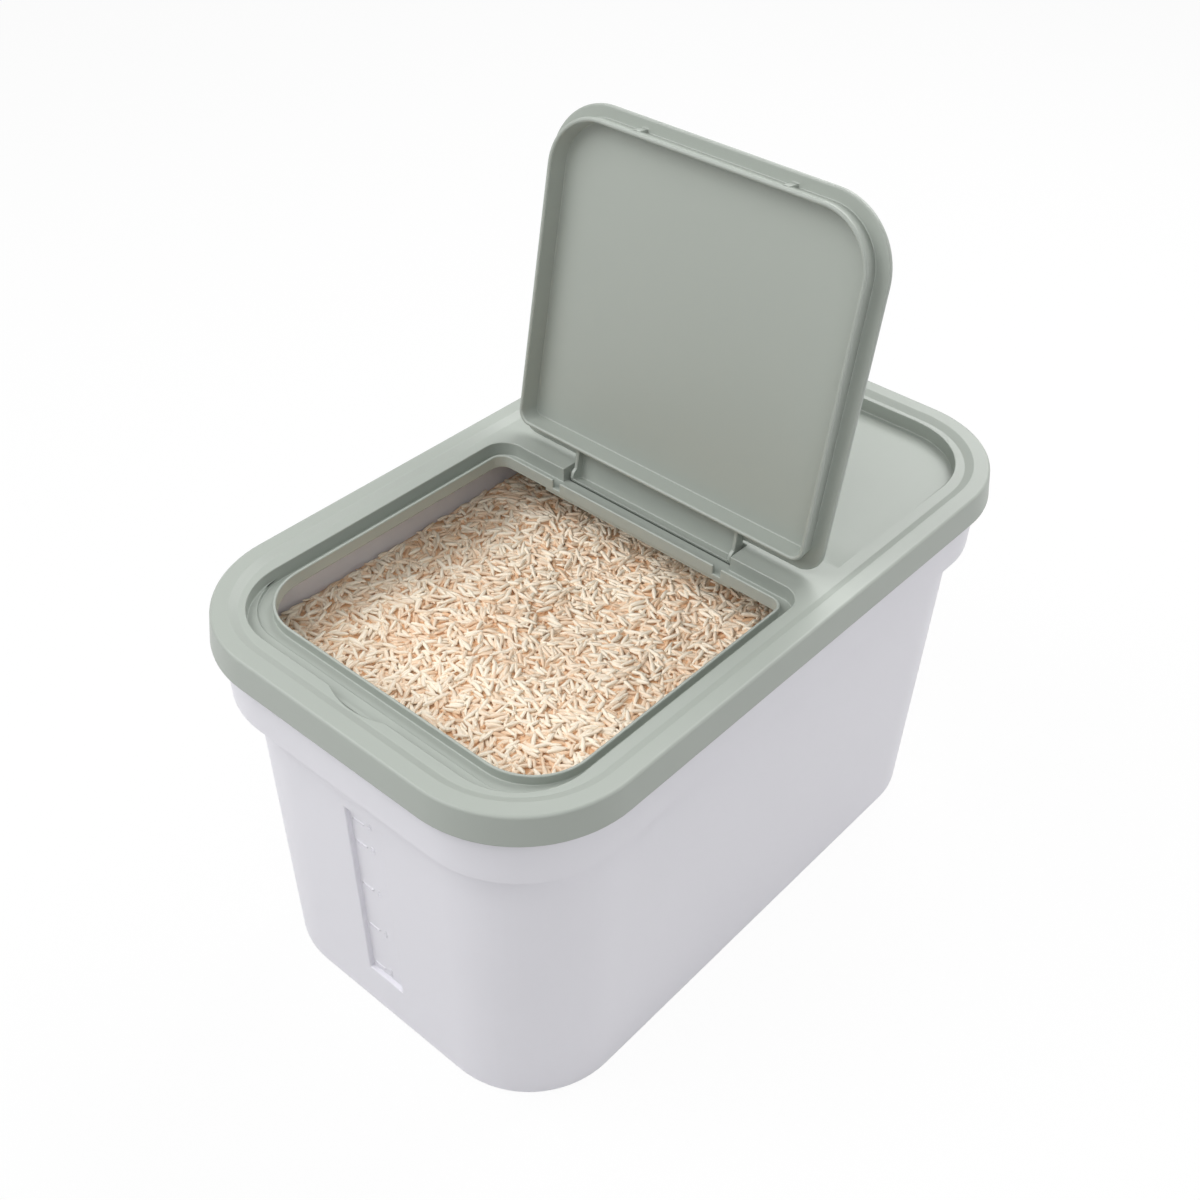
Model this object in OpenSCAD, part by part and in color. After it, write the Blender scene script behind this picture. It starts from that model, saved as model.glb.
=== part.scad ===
// Rice bin with a lift-off cover and a flip lid: tub, rice, cover, flip lid.
// Millimetres. X is the short width, Y the long axis, the level window is on the front at -Y, Z is up.
// The flip lid is drawn open against its stop, as in the photo. The base stands on z = 0.

/* [Tub] */
// width of the base across X
base_w = 208.6; // [190:0.2:240]
// length of the base along Y
base_l = 358.5; // [330:0.5:400]
// corner radius of the base
base_r = 53; // [48:0.5:58]
// how far each wall leans out between the base and the shoulder
wall_lean = 5.8; // [4:0.1:7]
// height of the shoulder's lower edge
shoulder_z = 180.2; // [170:0.2:210]
// how far the shoulder stands out from the long walls
ledge_w = 4.45; // [4:0.05:6]
// how far the shoulder stands out from the end walls
ledge_l = 8.9; // [7:0.1:10]
// how much rounder the shoulder's corners are than the base's
shoulder_round = 3.8; // [3:0.1:5]
// height of the shoulder band that shows under the cover
band_h = 30.7; // [26:0.1:36]
// wall thickness of the tub
wall_t = 2.2; // [1.8:0.1:2.6]
// floor thickness of the tub
floor_t = 2.6; // [2:0.1:4]
// radius of the base edge
base_edge_r = 3.4; // [2:0.1:4]
// height of the rim lip under the cover
lip_h = 4.5; // [3:0.5:6]

/* [Level window] */
// width of the level window
window_w = 24.4; // [18:0.2:28]
// height of the window's lower end
window_z0 = 30.5; // [26:0.5:36]
// gap between the window's upper end and the shoulder
window_top = 25.9; // [18:0.1:30]
// depth of the window's recess
window_deep = 2.8; // [1.5:0.1:3.2]
// height of the lowest level mark over the window's lower end
mark_up = 4.6; // [2:0.1:8]
// height step between level marks
mark_step = 31.8; // [28:0.1:33]
// length of a level mark
mark_w = 8; // [5:0.5:10]

/* [Rice] */
// height of the rice over the shoulder's lower edge
rice_up = 3.8; // [-40:0.2:8]

/* [Cover] */
// how far the skirt stands out from the shoulder on the long sides
over_w = 6.6; // [6.2:0.05:7.5]
// how far the skirt stands out from the shoulder at the ends
over_l = 6.05; // [5.8:0.05:7.5]
// how much rounder the skirt's corners are than the shoulder's
over_r = 6.4; // [6:0.1:7]
// height of the skirt and ring
skirt_h = 15.9; // [14:0.1:20]
// height of the raised ring over the deck
ring_h = 2.2; // [1.9:0.1:3]
// thickness of the cover's plates
plate_t = 2.2; // [1.8:0.1:2.3]
// thickness of the skirt
skirt_t = 2; // [1.6:0.1:2.2]
// lean of the skirt over its height
skirt_lean = 1.65; // [1:0.05:2]

/* [Mouth] */
// gap between the skirt and the mouth on the long sides
mouth_side = 27.85; // [26:0.05:32]
// gap between the skirt and the mouth at the front
mouth_front = 36; // [34:0.5:44]
// length of the mouth inside its collar
mouth_l = 170.1; // [150:0.1:185]
// radius of the mouth's front corners
mouth_rf = 29.4; // [24:0.1:34]
// radius of the mouth's hinge corners
mouth_rr = 6.5; // [5:0.1:9]
// thickness of the collar
collar_t = 1.6; // [1.2:0.1:1.8]
// how far the collar's top stays below the deck
collar_low = 3.1; // [3:0.1:4]
// depth of the channel below the deck
channel_deep = 8.1; // [8:0.1:9]
// width of the channel and collar on the long sides
channel_side = 7; // [6.5:0.1:8]
// width of the channel and collar at the front
channel_front = 7.8; // [7:0.1:10]
// width of the channel and collar at the hinge
channel_back = 8.1; // [7.8:0.1:8.6]
// width of the finger seat at the front
seat_deep = 7.8; // [6:0.1:10]
// rise of the finger seat over the channel
seat_rise = 1.8; // [1:0.1:3]
// half width of the finger notch where it meets the seat
notch_hw = 18; // [14:0.5:22]
// depth of the finger notch along Y
notch_deep = 4.2; // [3.5:0.1:4.4]
// how far the finger notch's floor lies below the deck
notch_sink = 2.8; // [2:0.1:4]

/* [Rear tray] */
// gap between the skirt and the tray on the long sides
tray_side = 21.15; // [20:0.05:26]
// gap between the skirt and the tray at the rear end
tray_end = 17.5; // [16.5:0.5:26]
// how much tighter the tray's corners are than the skirt's
tray_round = 19.2; // [18:0.2:24]
// depth of the tray below the deck
tray_deep = 7.9; // [6:0.1:8.4]
// gap between the hinge and the tray's ramp
ramp_back = 20.2; // [18:0.2:26]
// length of the ramp
ramp_len = 36; // [30:1:42]

/* [Hinge] */
// distance from the mouth to the hinge along Y
hinge_back = 15.7; // [15.6:0.05:15.9]
// how far the hinge lies below the deck
hinge_sink = 5.3; // [5.2:0.05:5.4]
// angle of the flip lid when it leans on its stop
open_deg = 99.7; // [95:0.1:100]
// radius of the hinge barrel
barrel_r = 4.6; // [4.2:0.1:4.6]
// half width of the hinge tab
tab_hw = 53.4; // [46:0.1:60]
// thickness of the tab's plate and ribs
rib_t = 2; // [1.6:0.1:2.1]
// radius of the hinge pins
pin_r = 2.2; // [1.8:0.1:2.4]
// length of the hinge pins
pin_len = 6; // [5:0.1:7]

/* [Flip lid] */
// how far the skirt of the flip lid reaches below the channel
rim_drop = 3.5; // [2.5:0.1:4.5]
// thickness of the skirt of the flip lid
rim_t = 2.3; // [1.8:0.1:2.6]
// lean of the skirt of the flip lid
rim_lean = 1.4; // [0.8:0.1:1.8]
// rise of the closed flip lid over the deck
lid_rise = 0.8; // [0.6:0.1:1.2]
// thickness of the flip lid's panel
panel_t = 1.8; // [1.5:0.1:2]
// thickness of the flange
flange_t = 3.1; // [2.8:0.1:3.3]
// distance of each snap nub from the middle
nub_x = 43; // [38:0.5:48]

/* [Hidden] */
$fn = 96;
// shared fits
rim_fit = 0.5;
rest_fit = 0.2;
pin_fit = 0.05;
barrel_fit = 0.4;
stop_fit = 0.3;
cut_over = 1;
// tub
shoulder_w = base_w + 2 * (wall_lean + ledge_w);
shoulder_l = base_l + 2 * (wall_lean + ledge_l);
shoulder_r = base_r + shoulder_round;
slope = wall_lean / shoulder_z;
floor_in = 20;
foot_round = 5;
lip_back = 3;
lip_soft = 0.6;
ledge_soft = 0.9;
step_outer = base_w + 2 * wall_lean - wall_t;
window_z1 = shoulder_z - window_top;
mark_z0 = window_z0 + mark_up;
mark_h = 0.8;
mark_proud = 0.3;
mark_x0 = 1.8 - window_w / 2;
pad_over = 2.4;
// rice
rice_z = shoulder_z + rice_up;
rice_fit = 0.2;
rice_soft = 1.5;
// cover
cover_w = shoulder_w + 2 * over_w;
cover_l = shoulder_l + 2 * over_l;
cover_r = shoulder_r + over_r;
cover_z0 = shoulder_z + band_h;
ring_z = cover_z0 + skirt_h;
deck_z = ring_z - ring_h;
deck_under = deck_z - plate_t;
tub_top_z = deck_under - rest_fit;
band_lean = slope * (tub_top_z - shoulder_z);
skirt_in = skirt_t + skirt_lean * (deck_under - cover_z0) / skirt_h;
lip_reach = min(over_w, over_l) - skirt_in - rim_fit;
skirt_soft = 0.4;
ring_in = 7.4;
ring_slope = 3.6;
edge_r = 1.8;
deck_in = 24;
// mouth
mouth_w = cover_w - 2 * mouth_side;
mouth_y0 = mouth_front - cover_l / 2;
mouth_y1 = mouth_y0 + mouth_l;
collar_z = deck_z - collar_low;
channel_z = deck_z - channel_deep;
channel_hw = mouth_w / 2 + channel_side;
channel_y0 = mouth_y0 - channel_front;
channel_y1 = mouth_y1 + channel_back;
channel_rf = mouth_rf + 3.6;
channel_rr = mouth_rr + 5.5;
seat_y0 = channel_y0 - seat_deep;
seat_z = channel_z + seat_rise;
seat_rf = channel_rf + 3.5;
notch_z = deck_z - notch_sink;
notch_r = (notch_hw * notch_hw + notch_deep * notch_deep) / (2 * notch_deep);
mouth_cut_z = channel_z - plate_t;
// rear tray
hinge_y = mouth_y1 + hinge_back;
hinge_z = deck_z - hinge_sink;
tray_hw = cover_w / 2 - tray_side;
tray_y1 = cover_l / 2 - tray_end;
tray_r = cover_r - tray_round;
tray_z = deck_z - tray_deep;
ramp_y0 = hinge_y + ramp_back;
ramp_r = (ramp_len * ramp_len + tray_deep * tray_deep) / (2 * tray_deep);
// hinge
pocket_hw = tab_hw + 2.1;
pocket_y1 = hinge_y + barrel_r / sin(open_deg) + hinge_sink * tan(open_deg - 90) + stop_fit;
socket_hw = tab_hw + pin_len + stop_fit;
boss_hw = socket_hw + plate_t;
boss_z = hinge_z - barrel_r - barrel_fit - plate_t;
gate_x0 = tab_hw - rib_t - stop_fit;
gate_x1 = tab_hw + 2.6;
// flip lid
rim_gap = 0.3;
rim_end_gap = 0.6;
rim_w = mouth_w - 2 * rim_gap;
rim_y0 = mouth_y0 + rim_end_gap;
rim_y1 = mouth_y1 - rim_end_gap;
rim_rf = mouth_rf - rim_gap;
rim_rr = mouth_rr + 1;
rim_z = channel_z - rim_drop;
lid_z = deck_z + lid_rise;
flange_z = lid_z - flange_t;
flange_hw = channel_hw - 1.3;
flange_y0 = channel_y0 + 3.3;
flange_y1 = channel_y1 - 1.2;
flange_rf = channel_rf + 1.6;
flange_rr = channel_rr + 1;
flange_edge = 12;
flange_soft = 0.5;
flange_round = 1.5;
root_in = rim_t + 1.1;
root_up = 0.4;
rib_bottom = hinge_z - 2.4;
rib_in = 0.6;
tab_top = hinge_z + barrel_r;
tab_ease = 0.2;
hook_in = 1.1;
hook_lean = 1.1;
nub_out = 0.4;
nub_w = 3.5;
nub_up = 1.6;

// points on an arc from angle a0 to a1, in n steps
function arc(cx, cz, r, a0, a1, n) = [
    for (i = [0:n])
        let (a = a0 + (a1 - a0) * i / n)
        [cx + r * cos(a), cz + r * sin(a)]
];

// one straight run of a profile, on the side that faces the given direction
module run(turn, off, len, shift) {
    rotate([0, 0, turn])
    translate([off, len / 2 + shift, 0])
    rotate([90, 0, 0])
    linear_extrude(len)
    children();
}

// one quarter turn of a profile round a corner
module turn(cx, cy, a, r) {
    translate([cx, cy, 0])
    rotate([0, 0, a])
    rotate_extrude(angle = 90)
    translate([r, 0])
    children();
}

// a profile swept round a rounded rectangle, x = 0 of the profile lies on its outline
module sweep(w, y0, y1, rf, rr) {
    turn(w / 2 - rr, y1 - rr, 0, rr) children();
    turn(rr - w / 2, y1 - rr, 90, rr) children();
    turn(rf - w / 2, y0 + rf, 180, rf) children();
    turn(w / 2 - rf, y0 + rf, 270, rf) children();
    run(0, w / 2, y1 - y0 - rf - rr, (y0 + y1 + rf - rr) / 2) children();
    run(180, w / 2, y1 - y0 - rf - rr, -(y0 + y1 + rf - rr) / 2) children();
    run(90, y1, w - 2 * rr, 0) children();
    run(270, -y0, w - 2 * rf, 0) children();
}

// a block from one corner to the opposite one
module block(x0, x1, y0, y1, z0, z1) {
    translate([0, 0, z0])
    linear_extrude(z1 - z0)
    polygon([[x0, y0], [x1, y0], [x1, y1], [x0, y1]]);
}

// a quarter of a disc round x and y, turned by the angle a
module quarter(x, y, a, r, z0, z1) {
    translate([x, y, z0])
    rotate([0, 0, a])
    rotate_extrude(angle = 90)
    square([r, z1 - z0]);
}

// a plain slab with rounded corners
module slab(w, y0, y1, rf, rr, z0, z1) {
    xf = w / 2 - rf;
    xr = w / 2 - rr;
    yf = y0 + rf;
    yr = y1 - rr;
    quarter(xr, yr, 0, rr, z0, z1);
    quarter(-xr, yr, 90, rr, z0, z1);
    quarter(-xf, yf, 180, rf, z0, z1);
    quarter(xf, yf, 270, rf, z0, z1);
    block(-w / 2, w / 2, yf, yr, z0, z1);
    block(-xf, xf, y0, yf, z0, z1);
    block(-xr, xr, yr, y1, z0, z1);
}

// a slab with rounded corners at its rear end only
module tail(w, y0, y1, r, z0, z1) {
    x1 = w / 2 - r;
    yr = y1 - r;
    quarter(x1, yr, 0, r, z0, z1);
    quarter(-x1, yr, 90, r, z0, z1);
    block(-w / 2, w / 2, y0, yr, z0, z1);
    block(-x1, x1, yr, y1, z0, z1);
}

// a side view, given as Y and Z points, made w wide about the middle
module side_view(w, points) {
    translate([-w / 2, 0, 0])
    rotate([90, 0, 90])
    linear_extrude(w)
    polygon(points);
}

// a round bar along X from x0 to x1
module bar(x0, x1, y, z, r) {
    translate([x0, y, z])
    rotate([0, 90, 0])
    cylinder(h = x1 - x0, r = r);
}

// walls and floor of the tub in section, x = 0 on the base's outline
module tub_section() {
    top = shoulder_z + wall_t;
    foot_in = slope * floor_t - wall_t;
    polygon(concat(
        [[-floor_in, 0]],
        arc(-base_edge_r, base_edge_r, base_edge_r, -90, 0, 5),
        [[slope * top, top],
         [slope * top - wall_t, top],
         [foot_in + slope * foot_round, floor_t + foot_round],
         [foot_in - 0.25 * foot_round, floor_t + 0.25 * foot_round],
         [foot_in - foot_round, floor_t],
         [-floor_in, floor_t]]
    ));
}

// shoulder band and rim lip in section, x = 0 on the band's lower outline
module band_section() {
    lip_z = tub_top_z - lip_h;
    polygon([
        [-ledge_soft, shoulder_z],
        [-0.3 * ledge_soft, shoulder_z + 0.3 * ledge_soft],
        [0, shoulder_z + ledge_soft],
        [slope * (lip_z - lip_back - shoulder_z), lip_z - lip_back],
        [lip_reach, lip_z],
        [lip_reach, tub_top_z - lip_soft],
        [lip_reach - lip_soft, tub_top_z],
        [band_lean - wall_t, tub_top_z],
        [-wall_t, shoulder_z + wall_t],
        [-wall_t, shoulder_z]
    ]);
}

// ledge that joins the wall's top to the shoulder band
module shoulder_ledge() {
    difference() {
        slab(shoulder_w - wall_t, (wall_t - shoulder_l) / 2, (shoulder_l - wall_t) / 2,
             shoulder_r - wall_t / 2, shoulder_r - wall_t / 2, shoulder_z, shoulder_z + wall_t);
        slab(step_outer, (wall_t - base_l) / 2 - wall_lean, (base_l - wall_t) / 2 + wall_lean,
             base_r + wall_lean - wall_t / 2, base_r + wall_lean - wall_t / 2,
             shoulder_z - cut_over, shoulder_z + wall_t + cut_over);
    }
}

// the front wall's outside at a height, moved in by some depth
function wall_y(z, in) = -base_l / 2 - slope * z + in;

module tub() {
    color([0.83, 0.83, 0.85])
    difference() {
        union() {
            sweep(base_w, -base_l / 2, base_l / 2, base_r, base_r) tub_section();
            slab(base_w - 2 * floor_in, floor_in - base_l / 2, base_l / 2 - floor_in,
                 base_r - floor_in, base_r - floor_in, 0, floor_t);
            shoulder_ledge();
            sweep(shoulder_w, -shoulder_l / 2, shoulder_l / 2, shoulder_r, shoulder_r) band_section();
            side_view(window_w + 2 * pad_over, [
                [wall_y(window_z0 - pad_over, wall_t / 2), window_z0 - pad_over],
                [wall_y(window_z0 - pad_over, window_deep + wall_t), window_z0 - pad_over],
                [wall_y(window_z1 + pad_over, window_deep + wall_t), window_z1 + pad_over],
                [wall_y(window_z1 + pad_over, wall_t / 2), window_z1 + pad_over]
            ]);
        }
        difference() {
            side_view(window_w, [
                [wall_y(window_z0, -cut_over), window_z0],
                [wall_y(window_z0, window_deep), window_z0],
                [wall_y(window_z1, window_deep), window_z1],
                [wall_y(window_z1, -cut_over), window_z1]
            ]);
            level_marks();
        }
    }
}

// the rice in section, clear of the walls and resting on the floor, x = 0 on the base's outline
module rice_section() {
    foot_in = slope * floor_t - wall_t - rice_fit;
    polygon([
        [-floor_in, floor_t],
        [foot_in - foot_round, floor_t],
        [foot_in - 0.25 * foot_round, floor_t + 0.25 * foot_round],
        [foot_in + slope * foot_round, floor_t + foot_round],
        [slope * (rice_z - rice_soft) - wall_t - rice_fit, rice_z - rice_soft],
        [slope * rice_z - wall_t - rice_fit - rice_soft, rice_z],
        [-floor_in, rice_z]
    ]);
}

// the rice that fills the tub, with room for the window's pad
module rice() {
    low = window_z0 - pad_over - rice_fit;
    high = window_z1 + pad_over + rice_fit;
    deep = window_deep + wall_t + rice_fit;
    color([0.92, 0.86, 0.77])
    difference() {
        union() {
            sweep(base_w, -base_l / 2, base_l / 2, base_r, base_r) rice_section();
            slab(base_w - 2 * floor_in, floor_in - base_l / 2, base_l / 2 - floor_in,
                 base_r - floor_in, base_r - floor_in, floor_t, rice_z);
        }
        side_view(window_w + 2 * (pad_over + rice_fit), [
            [wall_y(low, 0), low],
            [wall_y(low, deep), low],
            [wall_y(high, deep), high],
            [wall_y(high, 0), high]
        ]);
    }
}

// short raised lines on the window, the top pair at half the step
module level_marks() {
    for (z = [mark_z0, mark_z0 + mark_step, mark_z0 + 2 * mark_step, mark_z0 + 3 * mark_step,
              mark_z0 + 3.5 * mark_step])
        translate([mark_x0, wall_y(z, window_deep - mark_proud), z - mark_h / 2])
        cube([mark_w, mark_proud + cut_over, mark_h]);
}

// skirt, raised ring and deck of the cover in section, x = 0 on the skirt's lower outline
module cover_section() {
    top_x = -skirt_lean - edge_r;
    polygon(concat(
        [[skirt_soft - skirt_t, cover_z0],
         [-skirt_soft, cover_z0],
         [0, cover_z0 + skirt_soft]],
        arc(top_x, ring_z - edge_r, edge_r, 0, 90, 6),
        [[top_x - ring_in + 0.8, ring_z],
         [top_x - ring_in, ring_z - 0.15],
         [top_x - ring_in - ring_slope, deck_z + 0.15],
         [top_x - ring_in - ring_slope - 0.8, deck_z],
         [-deck_in, deck_z],
         [-deck_in, deck_under],
         [-skirt_in, deck_under],
         [-skirt_t, cover_z0 + skirt_soft]]
    ));
}

// upright collar round the mouth in section, x = 0 on the mouth's outline
module collar_section() {
    half = collar_t / 2;
    polygon(concat(
        [[0, mouth_cut_z],
         [collar_t, mouth_cut_z]],
        arc(half, collar_z - half, half, 0, 180, 6)
    ));
}

// walls under the deck that carry the channel, the hinge and the tray
module cover_under() {
    slab(2 * (channel_hw + plate_t), seat_y0 - plate_t, channel_y1 + plate_t,
         seat_rf + plate_t, channel_rr + plate_t, mouth_cut_z, deck_under + cut_over);
    translate([-boss_hw, mouth_y1 + collar_t / 2, boss_z])
        cube([2 * boss_hw, pocket_y1 + plate_t - mouth_y1 - collar_t / 2, deck_under + cut_over - boss_z]);
    tail(2 * (tray_hw + plate_t), ramp_y0 + plate_t, tray_y1 + plate_t, tray_r + plate_t,
         tray_z - plate_t, deck_under + cut_over);
}

// everything cut from above: seat, channel, finger notch, hinge pocket, sockets, tray
module cover_cuts() {
    up = ring_z + cut_over;
    slab(2 * channel_hw, seat_y0, channel_y1, seat_rf, channel_rr, seat_z, up);
    slab(2 * channel_hw, channel_y0, channel_y1, channel_rf, channel_rr, channel_z, up);
    translate([0, seat_y0 - notch_deep + notch_r, notch_z])
        cylinder(h = up - notch_z, r = notch_r);
    translate([-pocket_hw, channel_y1 - 3, channel_z])
        cube([2 * pocket_hw, pocket_y1 - channel_y1 + 3, up - channel_z]);
    bar(-pocket_hw, pocket_hw, hinge_y, hinge_z, barrel_r + barrel_fit);
    bar(-socket_hw, socket_hw, hinge_y, hinge_z, pin_r + pin_fit);
    slab(mouth_w, mouth_y0, mouth_y1, mouth_rf, mouth_rr, boss_z - cut_over, up);
    tail(2 * tray_hw, ramp_y0 + ramp_len, tray_y1, tray_r, tray_z, up);
    intersection() {
        translate([-tray_hw, ramp_y0, tray_z - cut_over])
            cube([2 * tray_hw, ramp_len, up - tray_z + cut_over]);
        bar(-tray_hw - cut_over, tray_hw + cut_over, ramp_y0 + ramp_len, tray_z + ramp_r, ramp_r);
    }
}

// gaps in the collar that let the tab's ribs through
module rib_gates() {
    for (x = [-gate_x1, gate_x0])
        translate([x, mouth_y1 - cut_over, channel_z])
        cube([gate_x1 - gate_x0, collar_t + 2 * cut_over, collar_z - channel_z + cut_over]);
}

module cover() {
    color([0.66, 0.7, 0.66])
    difference() {
        union() {
            difference() {
                union() {
                    sweep(cover_w, -cover_l / 2, cover_l / 2, cover_r, cover_r) cover_section();
                    slab(cover_w - 2 * deck_in, deck_in - cover_l / 2, cover_l / 2 - deck_in,
                         cover_r - deck_in, cover_r - deck_in, deck_under, deck_z);
                    cover_under();
                }
                cover_cuts();
            }
            sweep(mouth_w, mouth_y0, mouth_y1, mouth_rf, mouth_rr) collar_section();
        }
        rib_gates();
    }
}

// skirt wall of the flip lid in section, x = 0 on the rim's outline
module rim_section() {
    half = rim_t / 2;
    polygon(concat(
        arc(-half, rim_z + half, half, 180, 360, 6),
        [[-rim_lean, flange_z + root_up],
         [-root_in, flange_z + root_up],
         [-root_in, flange_z - root_up]]
    ));
}

// flange of the flip lid in section, x = 0 on its outline
module flange_section() {
    polygon(concat(
        [[-flange_edge, flange_z],
         [-flange_soft, flange_z],
         [0, flange_z + flange_soft]],
        arc(-flange_round, lid_z - flange_round, flange_round, 0, 90, 5),
        [[-flange_edge, lid_z]]
    ));
}

// hinge tab: plate, two ribs, moulded pins, and a round back that is hollow between the ribs
module hinge_tab() {
    top = tab_top - tab_ease;
    start = rim_y1 - rim_t + rib_in;
    low = hinge_z - barrel_r - cut_over;
    difference() {
        union() {
            translate([-tab_hw, start, rib_bottom])
                cube([2 * tab_hw, hinge_y - start, top - rib_bottom]);
            bar(-tab_hw, tab_hw, hinge_y, hinge_z, barrel_r);
        }
        side_view(2 * (tab_hw - rib_t), [
            [start - cut_over, low],
            [hinge_y + hook_in, low],
            [hinge_y + hook_in + hook_lean, top - rib_t],
            [start - cut_over, top - rib_t]
        ]);
    }
    bar(-tab_hw - pin_len, rib_t - tab_hw, hinge_y, hinge_z, pin_r);
    bar(tab_hw - rib_t, tab_hw + pin_len, hinge_y, hinge_z, pin_r);
}

// the flip lid as it lies when closed
module lid_closed() {
    difference() {
        union() {
            sweep(2 * flange_hw, flange_y0, flange_y1, flange_rf, flange_rr) flange_section();
            slab(2 * (flange_hw - flange_edge), flange_y0 + flange_edge, flange_y1 - flange_edge,
                 flange_rf - flange_edge, flange_rr - flange_edge, flange_z, lid_z);
            sweep(rim_w, rim_y0, rim_y1, rim_rf, rim_rr) rim_section();
            for (x = [-nub_x, nub_x])
                translate([x - nub_w / 2, rim_y0 - nub_out, rim_z + nub_up])
                cube([nub_w, nub_out + rim_t, flange_z + root_up - rim_z - nub_up]);
        }
        slab(rim_w - 2 * root_in, rim_y0 + root_in, rim_y1 - root_in,
             rim_rf - root_in, rim_rr - root_in, flange_z - root_up, lid_z - panel_t);
    }
    hinge_tab();
}

module flip_lid() {
    color([0.66, 0.7, 0.66])
    translate([0, hinge_y, hinge_z])
    rotate([-open_deg, 0, 0])
    translate([0, -hinge_y, -hinge_z])
    lid_closed();
}

tub();
rice();
cover();
flip_lid();
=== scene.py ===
"""A rice bin with a lift-off cover and a flip lid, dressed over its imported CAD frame."""

import math
import random

import bmesh
import bpy
import numpy as np
from bpy.props import (FloatProperty, FloatVectorProperty, IntProperty,
                       PointerProperty)
from mathutils import Matrix, Vector, noise


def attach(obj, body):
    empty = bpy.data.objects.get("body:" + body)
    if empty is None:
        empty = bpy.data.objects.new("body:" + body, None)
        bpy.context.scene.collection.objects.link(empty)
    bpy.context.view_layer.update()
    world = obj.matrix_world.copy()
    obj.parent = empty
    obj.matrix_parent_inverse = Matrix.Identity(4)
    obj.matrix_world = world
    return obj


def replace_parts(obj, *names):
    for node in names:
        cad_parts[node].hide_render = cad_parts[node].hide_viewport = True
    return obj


bl_info = {
    "name": "Rice bin with flip lid",
    "version": (1, 0, 0),
    "blender": (4, 5, 0),
    "location": "3D View > Sidebar > Rice Bin",
    "description": "Dresses the rice bin's CAD frame with its plastics, level numbers and rice",
    "category": "Object",
}

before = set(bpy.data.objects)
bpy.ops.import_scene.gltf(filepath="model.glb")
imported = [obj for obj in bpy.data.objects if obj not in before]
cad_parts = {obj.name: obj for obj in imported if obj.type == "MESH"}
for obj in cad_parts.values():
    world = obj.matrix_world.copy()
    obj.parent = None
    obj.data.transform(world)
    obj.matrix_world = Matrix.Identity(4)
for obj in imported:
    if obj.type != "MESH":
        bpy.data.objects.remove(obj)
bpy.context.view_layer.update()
MM = 0.001


def srgb(r, g, b):
    """A colour given in 0 to 255 as linear red, green and blue."""
    return tuple(c / 3294.6 if c <= 10.31 else ((c / 255 + 0.055) / 1.055) ** 2.4 for c in (r, g, b))


# Sizes and colours that a user would change


class TubSettings(bpy.types.PropertyGroup):
    """The white tub and the numbers in its level window."""

    colour: FloatVectorProperty(name="Tub colour", description="Colour of the tub's plastic",
                                subtype="COLOR", size=3, min=0, max=1, default=srgb(226, 225, 231))
    edge: FloatProperty(name="Edge softness", description="Width of the softened edges",
                        subtype="DISTANCE", unit="LENGTH", default=0.5 * MM, min=0.05 * MM, max=1.5 * MM)
    wall_top: FloatProperty(name="Wall height", description="Height at which the wall's lean is measured",
                            subtype="DISTANCE", unit="LENGTH", default=180.2 * MM)
    wall_lean: FloatProperty(name="Wall lean", description="How far the wall leans out over its height",
                             subtype="DISTANCE", unit="LENGTH", default=5.8 * MM)
    base_half: FloatProperty(name="Base half length", description="Half the base's length",
                             subtype="DISTANCE", unit="LENGTH", default=179.25 * MM)
    window_deep: FloatProperty(name="Window depth", description="Depth of the level window's recess",
                               subtype="DISTANCE", unit="LENGTH", default=2.8 * MM)
    first_line: FloatProperty(name="First line", description="Height of the lowest level line",
                              subtype="DISTANCE", unit="LENGTH", default=35.1 * MM)
    unit_high: FloatProperty(name="Unit height", description="Height between one number and the next",
                             subtype="DISTANCE", unit="LENGTH", default=15.9 * MM)
    digit_high: FloatProperty(name="Digit height", description="Height of the level numbers",
                              subtype="DISTANCE", unit="LENGTH", default=5.2 * MM)
    digit_x: FloatProperty(name="Digit place", description="Where the level numbers start, across the window",
                           subtype="DISTANCE", unit="LENGTH", default=-0.6 * MM)


class LidSettings(bpy.types.PropertyGroup):
    """The sage green cover and flip lid."""

    colour: FloatVectorProperty(name="Sage colour", description="Colour of the cover's and lid's plastic",
                                subtype="COLOR", size=3, min=0, max=1, default=srgb(164, 170, 163))
    edge: FloatProperty(name="Edge softness", description="Width of the softened edges",
                        subtype="DISTANCE", unit="LENGTH", default=0.4 * MM, min=0.05 * MM, max=1.5 * MM)


class RiceSettings(bpy.types.PropertyGroup):
    """The rice in the tub."""

    level: FloatProperty(name="Rice level", description="Height of the rice's surface",
                         subtype="DISTANCE", unit="LENGTH", default=184 * MM)
    length: FloatProperty(name="Grain length", description="Length of a whole grain",
                          subtype="DISTANCE", unit="LENGTH", default=9.8 * MM)
    width: FloatProperty(name="Grain width", description="Width of a grain",
                         subtype="DISTANCE", unit="LENGTH", default=2.7 * MM)
    grains: IntProperty(name="Grains", description="How many grains are tried on the surface",
                        default=12500, min=100, max=16000)
    seed: IntProperty(name="Seed", description="Another seed lays the grains another way", default=7)
    colour: FloatVectorProperty(name="Rice colour", description="Colour of a grain",
                                subtype="COLOR", size=3, min=0, max=1, default=srgb(255, 243, 224))
    # Tan of the darker grains and painted shade: the lower grains lean towards this colour and the bed under
    # the grains has it all over, standing in for the shade between the grains
    shade: FloatVectorProperty(name="Rice shade", description="Colour between the grains",
                               subtype="COLOR", size=3, min=0, max=1, default=srgb(228, 186, 146))


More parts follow.
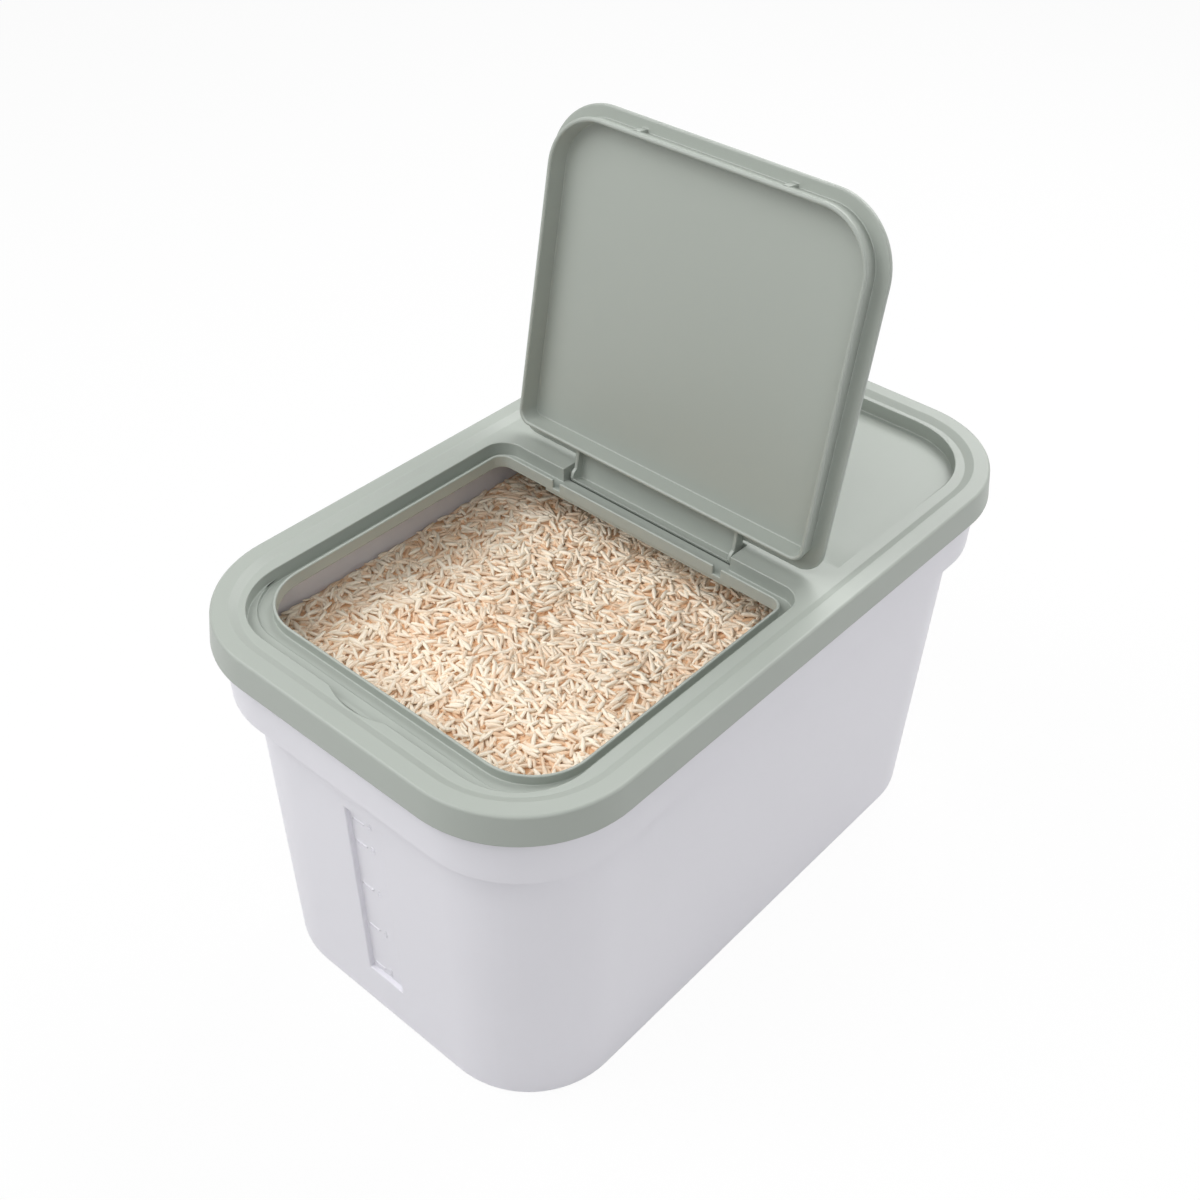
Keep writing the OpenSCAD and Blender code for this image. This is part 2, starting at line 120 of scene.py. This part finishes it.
class StudioSettings(bpy.types.PropertyGroup):
    """The light round the bin."""

    left: FloatProperty(name="Left light", description="Strength of the high light on the front left",
                        unit="POWER", default=18.5)
    right: FloatProperty(name="Right light", description="Strength of the high light on the front right",
                         unit="POWER", default=9.0)
    side: FloatProperty(name="Side light", description="Strength of the low light on the right",
                        unit="POWER", default=5.0)
    rear: FloatProperty(name="Rear light", description="Strength of the high light behind the bin",
                        unit="POWER", default=18.0)
    fill: FloatProperty(name="Fill", description="Strength of the light from all round",
                        subtype="FACTOR", default=0.06, min=0, max=2)


# Materials


def add(tree, kind, place, **settings):
    """A new node in a tree, with its settings and its sockets' plain values."""
    node = tree.nodes.new(kind)
    node.location = place
    for key, value in settings.items():
        if key in node.inputs:
            node.inputs[key].default_value = value
        else:
            setattr(node, key, value)
    return node


def maths(tree, operation, place, *given):
    """The result of a maths node, fed with other nodes' outputs or with plain numbers."""
    node = add(tree, "ShaderNodeMath", place, operation=operation)
    for socket, value in zip(node.inputs, given):
        if isinstance(value, bpy.types.NodeSocket):
            tree.links.new(value, socket)
        else:
            socket.default_value = value
    return node.outputs[0]


def moulded_texture():
    """Node group: the slight cloudiness and the fine eroded texture of moulded plastic."""
    tree = bpy.data.node_groups.new("Moulded texture", "ShaderNodeTree")
    face = tree.interface
    face.new_socket("Colour", in_out="INPUT", socket_type="NodeSocketColor")
    for name, value in (("Cloud scale", 14.0), ("Cloud amount", 0.02), ("Grain scale", 2600.0),
                        ("Roughness", 0.42), ("Roughness amount", 0.08)):
        face.new_socket(name, in_out="INPUT", socket_type="NodeSocketFloat").default_value = value
    face.new_socket("Colour", in_out="OUTPUT", socket_type="NodeSocketColor")
    face.new_socket("Roughness", in_out="OUTPUT", socket_type="NodeSocketFloat")
    face.new_socket("Height", in_out="OUTPUT", socket_type="NodeSocketFloat")
    link = tree.links.new
    given = add(tree, "NodeGroupInput", (-900, 0)).outputs
    made = add(tree, "NodeGroupOutput", (700, 0)).inputs
    place = add(tree, "ShaderNodeTexCoord", (-900, -300))
    cloud = add(tree, "ShaderNodeTexNoise", (-650, 150), Detail=3.0, Roughness=0.5)
    grain = add(tree, "ShaderNodeTexNoise", (-650, -150), Detail=2.0, Roughness=0.6)
    smear = add(tree, "ShaderNodeTexNoise", (-650, -450), Scale=90.0, Detail=4.0, Roughness=0.65)
    for pattern in (cloud, grain, smear):
        link(place.outputs["Object"], pattern.inputs["Vector"])
    link(given["Cloud scale"], cloud.inputs["Scale"])
    link(given["Grain scale"], grain.inputs["Scale"])
    # The colour is lighter and darker by a share of the cloud amount
    centred = maths(tree, "SUBTRACT", (-420, 150), cloud.outputs["Fac"], 0.5)
    scaled = maths(tree, "MULTIPLY_ADD", (-230, 150), centred, given["Cloud amount"], 1.0)
    tint = add(tree, "ShaderNodeVectorMath", (0, 200), operation="SCALE")
    link(given["Colour"], tint.inputs[0])
    link(scaled, tint.inputs["Scale"])
    link(tint.outputs[0], made["Colour"])
    # The roughness comes from handling smears and from the grain itself
    mixed = maths(tree, "ADD", (-420, -350), smear.outputs["Fac"], grain.outputs["Fac"])
    shifted = maths(tree, "SUBTRACT", (-230, -350), mixed, 1.0)
    rough = maths(tree, "MULTIPLY_ADD", (0, -250), shifted, given["Roughness amount"], given["Roughness"])
    link(rough, made["Roughness"])
    link(grain.outputs["Fac"], made["Height"])
    return tree


def plastic(name, colour, roughness, cloud, bump):
    """A satin moulded plastic."""
    material = bpy.data.materials.new(name)
    material.use_nodes = True
    tree = material.node_tree
    shader = tree.nodes["Principled BSDF"]
    shader.inputs["IOR"].default_value = 1.49
    texture = add(tree, "ShaderNodeGroup", (-500, 100))
    texture.node_tree = bpy.data.node_groups.get("Moulded texture") or moulded_texture()
    texture.inputs["Colour"].default_value = (*colour, 1)
    texture.inputs["Roughness"].default_value = roughness
    texture.inputs["Cloud amount"].default_value = cloud
    relief = add(tree, "ShaderNodeBump", (-250, -200), Strength=1.0, Distance=bump)
    tree.links.new(texture.outputs["Colour"], shader.inputs["Base Color"])
    tree.links.new(texture.outputs["Roughness"], shader.inputs["Roughness"])
    tree.links.new(texture.outputs["Height"], relief.inputs["Height"])
    tree.links.new(relief.outputs["Normal"], shader.inputs["Normal"])
    return material


# How much the chalky belly and the slow drift add to a grain's tone, which holds its own tone and painted
# shade
CHALK_SHARE = 0.25
DRIFT_SHARE = 0.3
# Tone below which the rice is at its darkest, less the material's own spread
RAMP_START = 0.65


def rice_material(name, light, shade, spread):
    """Dry rice: each grain's tone, partly its own and partly painted shade that darkens the lower grains,
    sets its colour between pale and tan, with a paler chalky belly here and there.
    """
    material = bpy.data.materials.new(name)
    material.use_nodes = True
    tree = material.node_tree
    link = tree.links.new
    shader = tree.nodes["Principled BSDF"]
    shader.inputs["IOR"].default_value = 1.5
    shader.inputs["Roughness"].default_value = 0.5
    place = add(tree, "ShaderNodeTexCoord", (-1000, 0))
    tone = add(tree, "ShaderNodeAttribute", (-1000, 250), attribute_name="tone")
    chalk = add(tree, "ShaderNodeTexNoise", (-780, -50), Scale=420.0, Detail=2.0)
    link(place.outputs["Object"], chalk.inputs["Vector"])
    drift = add(tree, "ShaderNodeTexNoise", (-780, -300), Scale=22.0, Detail=2.0)
    link(place.outputs["Object"], drift.inputs["Vector"])
    chalky = maths(tree, "MULTIPLY_ADD", (-560, 150), chalk.outputs["Fac"], CHALK_SHARE, tone.outputs["Fac"])
    drifting = maths(tree, "MULTIPLY_ADD", (-380, 100), drift.outputs["Fac"], DRIFT_SHARE, chalky)
    ramp = add(tree, "ShaderNodeValToRGB", (-200, 100))
    dark, pale = ramp.color_ramp.elements
    # The dark end is the tan of the darker grains and the painted shade of the lower grains and the bed
    dark.position = RAMP_START - spread
    dark.color = (*shade, 1)
    pale.color = (*light, 1)
    link(drifting, ramp.inputs["Fac"])
    link(ramp.outputs["Color"], shader.inputs["Base Color"])
    relief = add(tree, "ShaderNodeBump", (-200, -250), Strength=0.6, Distance=0.0002)
    link(chalk.outputs["Fac"], relief.inputs["Height"])
    link(relief.outputs["Normal"], shader.inputs["Normal"])
    return material


# Pieces


def piece_from(bm, name, material, body):
    """A finished piece from a bmesh: its object at the origin, riding on a body."""
    mesh = bpy.data.meshes.new(name)
    bm.to_mesh(mesh)
    bm.free()
    if "custom_normal" in mesh.attributes:
        mesh.attributes.remove(mesh.attributes["custom_normal"])
    mesh.materials.clear()
    mesh.materials.append(material)
    piece = bpy.data.objects.new(name, mesh)
    bpy.context.scene.collection.objects.link(piece)
    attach(piece, body)
    return piece


# Points of a CAD mesh nearer than this are welded
WELD = 0.004 * MM
# Faces that turn less than this against each other are joined into one
FLAT_ANGLE = math.radians(0.3)
# Edges that turn less than this are shaded smoothly
SMOOTH_ANGLE = math.radians(32)
# Edges that turn more than this are softened
SHARP_ANGLE = math.radians(40)


def moulding(node, name, material, edge):
    """A welded copy of a CAD node with smooth curves and softened edges, in that node's place."""
    bm = bmesh.new()
    bm.from_mesh(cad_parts[node].data)
    bmesh.ops.remove_doubles(bm, verts=bm.verts, dist=WELD)
    bmesh.ops.dissolve_limit(bm, angle_limit=FLAT_ANGLE, verts=bm.verts, edges=bm.edges)
    for side in bm.faces:
        side.smooth = True
    for line in bm.edges:
        line.smooth = line.calc_face_angle(0) < SMOOTH_ANGLE
    piece = piece_from(bm, name, material, node)
    soft = piece.modifiers.new("Soft edges", "BEVEL")
    soft.width = edge
    soft.segments = 2
    soft.limit_method = "ANGLE"
    soft.angle_limit = SHARP_ANGLE
    soft.use_clamp_overlap = False
    soft.harden_normals = True
    piece.modifiers.new("Even shading", "WEIGHTED_NORMAL").keep_sharp = True
    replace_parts(piece, node)


class BIN_OT_tub(bpy.types.Operator):
    """Dress the white tub"""

    bl_idname = "ricebin.tub"
    bl_label = "Tub"

    def execute(self, context):
        s = context.scene.bin_tub
        white = plastic("Tub plastic", s.colour, roughness=0.46, cloud=0.03, bump=0.000012)
        moulding("tub", "tub_shell", white, s.edge)
        return {"FINISHED"}


# The numbers in the level window, one beside each level line
LEVELS = (2, 4, 6, 8, 9)
# Font size for a digit of height 1
FONT_SIZE = 1.4
# How far a digit reaches in front of the window's face, and as far behind it
DIGIT_PROUD = 0.25 * MM


class BIN_OT_numbers(bpy.types.Operator):
    """Raise plain numbers beside the lines of the level window"""

    bl_idname = "ricebin.numbers"
    bl_label = "Level numbers"

    def execute(self, context):
        s = context.scene.bin_tub
        slope = s.wall_lean / s.wall_top
        upright = Matrix.Rotation(math.radians(90) + math.atan(slope), 4, "X")
        bm = bmesh.new()
        for number in LEVELS:
            letter = bpy.data.curves.new("digit", "FONT")
            letter.body = str(number)
            letter.size = s.digit_high * FONT_SIZE
            letter.extrude = DIGIT_PROUD
            letter.align_y = "CENTER"
            stand_in = bpy.data.objects.new("digit", letter)
            context.scene.collection.objects.link(stand_in)
            context.view_layer.update()
            shown = stand_in.evaluated_get(context.evaluated_depsgraph_get())
            mesh = bpy.data.meshes.new_from_object(shown)
            z = s.first_line + (number - LEVELS[0]) * s.unit_high
            y = -s.base_half - slope * z + s.window_deep
            mesh.transform(Matrix.Translation((s.digit_x, y, z)) @ upright)
            bm.from_mesh(mesh)
            bpy.data.objects.remove(stand_in)
            bpy.data.curves.remove(letter)
            bpy.data.meshes.remove(mesh)
        piece_from(bm, "level_numbers", bpy.data.materials["Tub plastic"], "tub")
        return {"FINISHED"}


class BIN_OT_cover(bpy.types.Operator):
    """Dress the sage green cover"""

    bl_idname = "ricebin.cover"
    bl_label = "Cover"

    def execute(self, context):
        s = context.scene.bin_lid
        sage = plastic("Cover plastic", s.colour, roughness=0.42, cloud=0.035, bump=0.000012)
        moulding("cover", "cover_shell", sage, s.edge)
        return {"FINISHED"}


class BIN_OT_flip_lid(bpy.types.Operator):
    """Dress the sage green flip lid"""

    bl_idname = "ricebin.flip_lid"
    bl_label = "Flip lid"

    def execute(self, context):
        s = context.scene.bin_lid
        sage = plastic("Flip lid plastic", s.colour, roughness=0.38, cloud=0.035, bump=0.00001)
        moulding("flip_lid", "flip_lid_shell", sage, s.edge)
        return {"FINISHED"}


# Rice. All sizes below are in metres

# Inside of the tub's shoulder band: half width, half length, corner radius
BAND = (0.1121, 0.1916, 0.0544)
# Outlines of the rice below its surface, from the ledge down to the floor, with their heights
BED_RINGS = ((0.1121, 0.1916, 0.0544, 0.1826), (0.1076, 0.1825, 0.0563, 0.1826),
             (0.1045, 0.1794, 0.0532, 0.1760), (0.0989, 0.1738, 0.0476, 0.0080))
# How far the bed lies below the rice's surface
BED_SINK = 0.0003
# Heaps and ripples of the surface: how many there are to a metre, and their height
HEAPS, HEAP_HIGH = 27, 0.0030
RIPPLES, RIPPLE_HIGH = 75, 0.0009
# The surface is flat this near to the wall, and the heaps grow in over the next distance
FLAT_RIM, FADE_OVER = 0.012, 0.02
# The field over which grains are laid: width and length
FIELD_W, FIELD_L = 0.224, 0.383
# Half sizes that tell which wall a grain is nearer to
NEAR_X, NEAR_Y = 0.112, 0.191
# Least distance of a grain's tips from the wall, and how much more its middle keeps
TIP_GAP, MIDDLE_GAP = 0.001, 0.0006
# Each kind of grain: its bend in millimetres, and how much blunter one end is
GRAIN_KINDS = ((0.0, 0.12), (0.22, 0.18), (-0.16, 0.1), (0.1, 0.3))
# Grains lie in swirls, this many to a metre, and stray from them by this angle
SWIRLS, STRAY = 60, 0.55
# Sizes of whole grains, the size of broken ones and their share
WHOLE_SIZES = (0.86, 1.08)
BROKEN_SIZE, BROKEN_SHARE = 0.6, 0.07
# The lowest grains lie this far below the surface, and the topmost this far above those
GRAIN_SINK, PILE_HIGH = 0.0010, 0.0028
# How far grains tilt in degrees, and how much more some of them do
TILT, EXTRA_TILT, TILTED_SHARE = 8, 12, 0.1
# The grains are kept as this many pieces
LOTS = 4


def rounded(u, v, half_x, half_y, radius):
    """A point of the square from -1 to 1 carried over to a rounded rectangle."""
    x, y = u * half_x, v * half_y
    dx, dy = abs(x) - (half_x - radius), abs(y) - (half_y - radius)
    if dx > 0 and dy > 0:
        shrink = max(dx, dy) / math.hypot(dx, dy)
        x = math.copysign(half_x - radius + dx * shrink, x)
        y = math.copysign(half_y - radius + dy * shrink, y)
    return x, y


def inside(x, y):
    """How far a point lies inside the tub's shoulder; below 0 it is outside."""
    half_x, half_y, radius = BAND
    qx, qy = abs(x) - (half_x - radius), abs(y) - (half_y - radius)
    return radius - math.hypot(max(qx, 0), max(qy, 0)) - min(max(qx, qy), 0)


def tips(x, y, yaw, reach):
    """How far inside the shoulder a grain's nearer tip lies."""
    dx, dy = reach * math.cos(yaw), reach * math.sin(yaw)
    return min(inside(x + dx, y + dy), inside(x - dx, y - dy))


def rice_height(x, y, level):
    """The rice's surface: low heaps and hollows left by a scoop, which fade out towards the walls."""
    fade = min(1, max(0, (inside(x, y) - FLAT_RIM) / FADE_OVER))
    heap = noise.noise(Vector((x * HEAPS, y * HEAPS, 0.3))) * HEAP_HIGH
    ripple = noise.noise(Vector((x * RIPPLES, y * RIPPLES, 4.1))) * RIPPLE_HIGH
    return level + (heap + ripple) * fade


def grain_shape(length, width, bend, taper):
    """Points and faces of one grain: a slim spindle, slightly bent, with one end blunter."""
    bm = bmesh.new()
    bmesh.ops.create_uvsphere(bm, u_segments=5, v_segments=5, radius=1,
                              matrix=Matrix.Rotation(math.radians(90), 4, "Y"))
    for v in bm.verts:
        x = v.co.x
        swell = 1 - taper * x
        v.co = Vector((x * length / 2, v.co.y * width / 2 * swell + bend * (x * x - 0.4),
                       v.co.z * width * 0.42 * swell))
    bm.verts.index_update()
    points = np.array([v.co for v in bm.verts], np.float32)
    faces = [tuple(v.index for v in side.verts) for side in bm.faces]
    bm.free()
    return points, faces


def grain_place(chance, s, x, y):
    """Where one grain lies: its matrix, and its layer from 0, the lowest, to 1. None if it has no room."""
    swirl = noise.noise(Vector((x * SWIRLS, y * SWIRLS, 9.7))) * math.tau
    yaw = swirl + chance.gauss(0, STRAY)
    size = chance.uniform(*WHOLE_SIZES) * (BROKEN_SIZE if chance.random() < BROKEN_SHARE else 1)
    reach = s.length / 2 * size
    if tips(x, y, yaw, reach) < TIP_GAP:
        yaw = math.pi / 2 if abs(x) / NEAR_X > abs(y) / NEAR_Y else 0.0
        if min(tips(x, y, yaw, reach), inside(x, y) - MIDDLE_GAP) < TIP_GAP:
            return None
    layer = chance.random()
    z = rice_height(x, y, s.level) - GRAIN_SINK + PILE_HIGH * layer
    pitch = chance.gauss(0, TILT) + (EXTRA_TILT if chance.random() < TILTED_SHARE else 0)
    turn = (Matrix.Translation((x, y, z)) @ Matrix.Rotation(yaw, 4, "Z")
            @ Matrix.Rotation(math.radians(pitch), 4, "Y")
            @ Matrix.Rotation(chance.uniform(0, math.tau), 4, "X")
            @ Matrix.Scale(size, 4))
    return turn, layer


class BIN_OT_rice(bpy.types.Operator):
    """Fill the tub with rice: a closed bed and the grains on its surface"""

    bl_idname = "ricebin.rice"
    bl_label = "Rice"

    def execute(self, context):
        s = context.scene.bin_rice
        grain = rice_material("Rice grains", s.colour, s.shade, spread=0.25)
        # The bed has the tan colour all over, as painted shade in the gaps between the grains
        bed = rice_material("Rice bed", s.shade, s.shade, spread=0.1)
        self.lay_bed(s, bed)
        shapes = [grain_shape(s.length, s.width, bend * MM, taper) for bend, taper in GRAIN_KINDS]
        for number, grains in enumerate(self.scatter(s, len(shapes)), start=1):
            self.join_grains(f"rice_grains_{number}", grains, shapes, grain)
        return {"FINISHED"}

    def lay_bed(self, s, material):
        """A closed body of rice, with the heaped surface as its top."""
        bm = bmesh.new()
        bmesh.ops.create_grid(bm, x_segments=56, y_segments=96, size=1)
        place = bm.verts.layers.float_vector.new("place")
        for v in bm.verts:
            v[place] = v.co
            x, y = rounded(v.co.x, v.co.y, *BAND)
            v.co = x, y, rice_height(x, y, s.level) - BED_SINK
        rim = [e for e in bm.edges if e.is_boundary]
        for half_x, half_y, radius, z in BED_RINGS:
            grown = bmesh.ops.extrude_edge_only(bm, edges=rim)["geom"]
            for v in (g for g in grown if isinstance(g, bmesh.types.BMVert)):
                v.co = *rounded(v[place].x, v[place].y, half_x, half_y, radius), z
            rim = [g for g in grown if isinstance(g, bmesh.types.BMEdge) and g.is_boundary]
        bmesh.ops.contextual_create(bm, geom=rim)
        bmesh.ops.recalc_face_normals(bm, faces=bm.faces)
        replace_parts(piece_from(bm, "rice_bed", material, "tub"), "rice")

    def scatter(self, s, kinds):
        """The grains of each lot: kind, matrix, and tone with painted shade that darkens the lower grains."""
        chance = random.Random(s.seed)
        laid = [[] for _ in range(LOTS)]
        step = math.sqrt(FIELD_W * FIELD_L / s.grains)
        rows, columns = round(FIELD_L / step), round(FIELD_W / step)
        for row in range(rows):
            lot = laid[min(LOTS - 1, int(row / rows * LOTS))]
            for column in range(columns):
                x = -FIELD_W / 2 + (column + chance.random()) * step
                y = -FIELD_L / 2 + (row + chance.random()) * step
                placed = grain_place(chance, s, x, y)
                if placed:
                    turn, layer = placed
                    kind = chance.randrange(kinds)
                    # Half the tone is chance and half is painted shade: the lower a grain lies, the darker it
                    # is
                    lot.append((kind, turn, 0.5 * chance.random() + 0.5 * layer))
        return laid

    def join_grains(self, name, grains, shapes, material):
        """One piece from a lot of grains, each with its tone and painted shade."""
        points, faces, tones_and_depth_shades, start = [], [], [], 0
        for kind, turn, tone in grains:
            base, sides = shapes[kind]
            m = np.array(turn, np.float32)
            points.append(base @ m[:3, :3].T + m[:3, 3])
            faces.extend(tuple(i + start for i in side) for side in sides)
            tones_and_depth_shades.append(np.full(len(base), tone, np.float32))
            start += len(base)
        mesh = bpy.data.meshes.new(name)
        mesh.from_pydata(np.concatenate(points).tolist(), [], faces)
        mesh.attributes.new("tone", "FLOAT", "POINT").data.foreach_set("value", np.concatenate(tones_and_depth_shades))
        mesh.shade_smooth()
        mesh.materials.append(material)
        piece = bpy.data.objects.new(mesh.name, mesh)
        bpy.context.scene.collection.objects.link(piece)
        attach(piece, "tub")


# Stage

# The camera of the photo: focal length in millimetres, place in metres and turn in degrees
FOCAL = 46.27044
CAMERA_PLACE = (0.3973306, -0.4833079, 0.6870636)
CAMERA_TURN = (50.663279, -1.123201, 41.446224)
# Each lamp: name, setting that gives its strength, place and size
LAMPS = (("Left light", "left", (-0.7, -0.8, 1.35), (1.2, 1.2)),
         ("Right light", "right", (0.7, -0.9, 1.3), (1.2, 1.2)),
         ("Side light", "side", (1.35, 0.75, 0.5), (1.0, 1.2)),
         ("Rear light", "rear", (0.0, 1.0, 1.3), (1.2, 1.0)))
# The point of the bin that the lamps face
AIM = Vector((0, 0, 0.15))
# Half the floor's side, and how far it lies below the bin
FLOOR_REACH, FLOOR_DROP = 8, 0.0002
# How much of the floor that is seen is plain white; the rest shows the bin's shadow
FLOOR_WHITE = 0.94


def softbox(name, place, size, power):
    """A large soft lamp that faces the bin."""
    lamp = bpy.data.lights.new(name, "AREA")
    lamp.shape = "RECTANGLE"
    lamp.size, lamp.size_y = size
    lamp.energy = power
    box = bpy.data.objects.new(name, lamp)
    bpy.context.scene.collection.objects.link(box)
    box.location = place
    box.rotation_euler = (AIM - Vector(place)).to_track_quat("-Z", "Y").to_euler()


def is_seen(tree, place):
    """1 for rays from the camera, or through or off gloss and glass."""
    x, y = place
    path = add(tree, "ShaderNodeLightPath", place).outputs
    first = maths(tree, "MAXIMUM", (x + 200, y), path["Is Camera Ray"], path["Is Glossy Ray"])
    return maths(tree, "MAXIMUM", (x + 400, y), first, path["Is Transmission Ray"])


class BIN_OT_studio(bpy.types.Operator):
    """Set up the camera, the pale floor and the soft studio light"""

    bl_idname = "ricebin.studio"
    bl_label = "Studio"

    def execute(self, context):
        s = context.scene.bin_studio
        scene = context.scene
        lens = bpy.data.cameras.new("Camera")
        lens.sensor_width = 36
        lens.lens = FOCAL
        lens.clip_start, lens.clip_end = 0.05, 50
        camera = bpy.data.objects.new("Camera", lens)
        scene.collection.objects.link(camera)
        camera.location = CAMERA_PLACE
        camera.rotation_euler = [math.radians(a) for a in CAMERA_TURN]
        scene.camera = camera
        self.floor()
        self.sky(scene, s.fill)
        for name, setting, place, size in LAMPS:
            softbox(name, place, size, getattr(s, setting))
        scene.view_settings.view_transform = "Standard"
        return {"FINISHED"}

    def floor(self):
        """A plain pale floor that keeps the bin's shadow."""
        bm = bmesh.new()
        bmesh.ops.create_grid(bm, x_segments=2, y_segments=2, size=FLOOR_REACH)
        bmesh.ops.translate(bm, verts=bm.verts, vec=(0, 0, -FLOOR_DROP))
        mesh = bpy.data.meshes.new("floor")
        bm.to_mesh(mesh)
        bm.free()
        paper = bpy.data.materials.new("Floor paper")
        paper.use_nodes = True
        tree = paper.node_tree
        shader = tree.nodes["Principled BSDF"]
        shader.inputs["Base Color"].default_value = (0.86, 0.86, 0.86, 1)
        shader.inputs["Roughness"].default_value = 0.9
        shader.inputs["Specular IOR Level"].default_value = 0.1
        glow = add(tree, "ShaderNodeEmission", (0, -300), Strength=1.0)
        share = maths(tree, "MULTIPLY", (50, 300), is_seen(tree, (-700, 300)), FLOOR_WHITE)
        mix = add(tree, "ShaderNodeMixShader", (300, 100))
        tree.links.new(share, mix.inputs[0])
        tree.links.new(shader.outputs[0], mix.inputs[1])
        tree.links.new(glow.outputs[0], mix.inputs[2])
        tree.links.new(mix.outputs[0], tree.nodes["Material Output"].inputs["Surface"])
        mesh.materials.append(paper)
        floor = bpy.data.objects.new("floor", mesh)
        bpy.context.scene.collection.objects.link(floor)

    def sky(self, scene, fill):
        """A faint light from all round, which shows as plain white."""
        world = bpy.data.worlds.new("Studio")
        world.use_nodes = True
        scene.world = world
        tree = world.node_tree
        around = tree.nodes["Background"]
        around.inputs["Color"].default_value = (1, 1, 1, 1)
        around.inputs["Strength"].default_value = fill
        white = add(tree, "ShaderNodeBackground", (0, -200), Strength=1.0)
        white.inputs["Color"].default_value = (1, 1, 1, 1)
        mix = add(tree, "ShaderNodeMixShader", (300, 0))
        tree.links.new(is_seen(tree, (-700, 300)), mix.inputs[0])
        tree.links.new(around.outputs[0], mix.inputs[1])
        tree.links.new(white.outputs[0], mix.inputs[2])
        tree.links.new(mix.outputs[0], tree.nodes["World Output"].inputs["Surface"])


class BIN_PT_panel(bpy.types.Panel):
    """The rice bin's pieces and settings"""

    bl_idname = "BIN_PT_panel"
    bl_label = "Rice Bin"
    bl_space_type = "VIEW_3D"
    bl_region_type = "UI"
    bl_category = "Rice Bin"

    def draw(self, context):
        for operator in STEPS:
            self.layout.operator(operator.bl_idname)
        for group in SETTINGS:
            box = self.layout.box()
            settings = getattr(context.scene, group)
            for name in settings.__annotations__:
                box.prop(settings, name)


SETTINGS = {"bin_tub": TubSettings, "bin_lid": LidSettings,
            "bin_rice": RiceSettings, "bin_studio": StudioSettings}
STEPS = (BIN_OT_studio, BIN_OT_tub, BIN_OT_numbers, BIN_OT_cover, BIN_OT_flip_lid, BIN_OT_rice)


def register():
    for cls in (*SETTINGS.values(), *STEPS, BIN_PT_panel):
        bpy.utils.register_class(cls)
    for name, cls in SETTINGS.items():
        setattr(bpy.types.Scene, name, PointerProperty(type=cls))


def unregister():
    for name in SETTINGS:
        delattr(bpy.types.Scene, name)
    for cls in reversed((*SETTINGS.values(), *STEPS, BIN_PT_panel)):
        bpy.utils.unregister_class(cls)


def main():
    register()
    bpy.ops.ricebin.studio()
    bpy.ops.ricebin.tub()
    bpy.ops.ricebin.numbers()
    bpy.ops.ricebin.cover()
    bpy.ops.ricebin.flip_lid()
    bpy.ops.ricebin.rice()


if __name__ == "__main__":
    main()
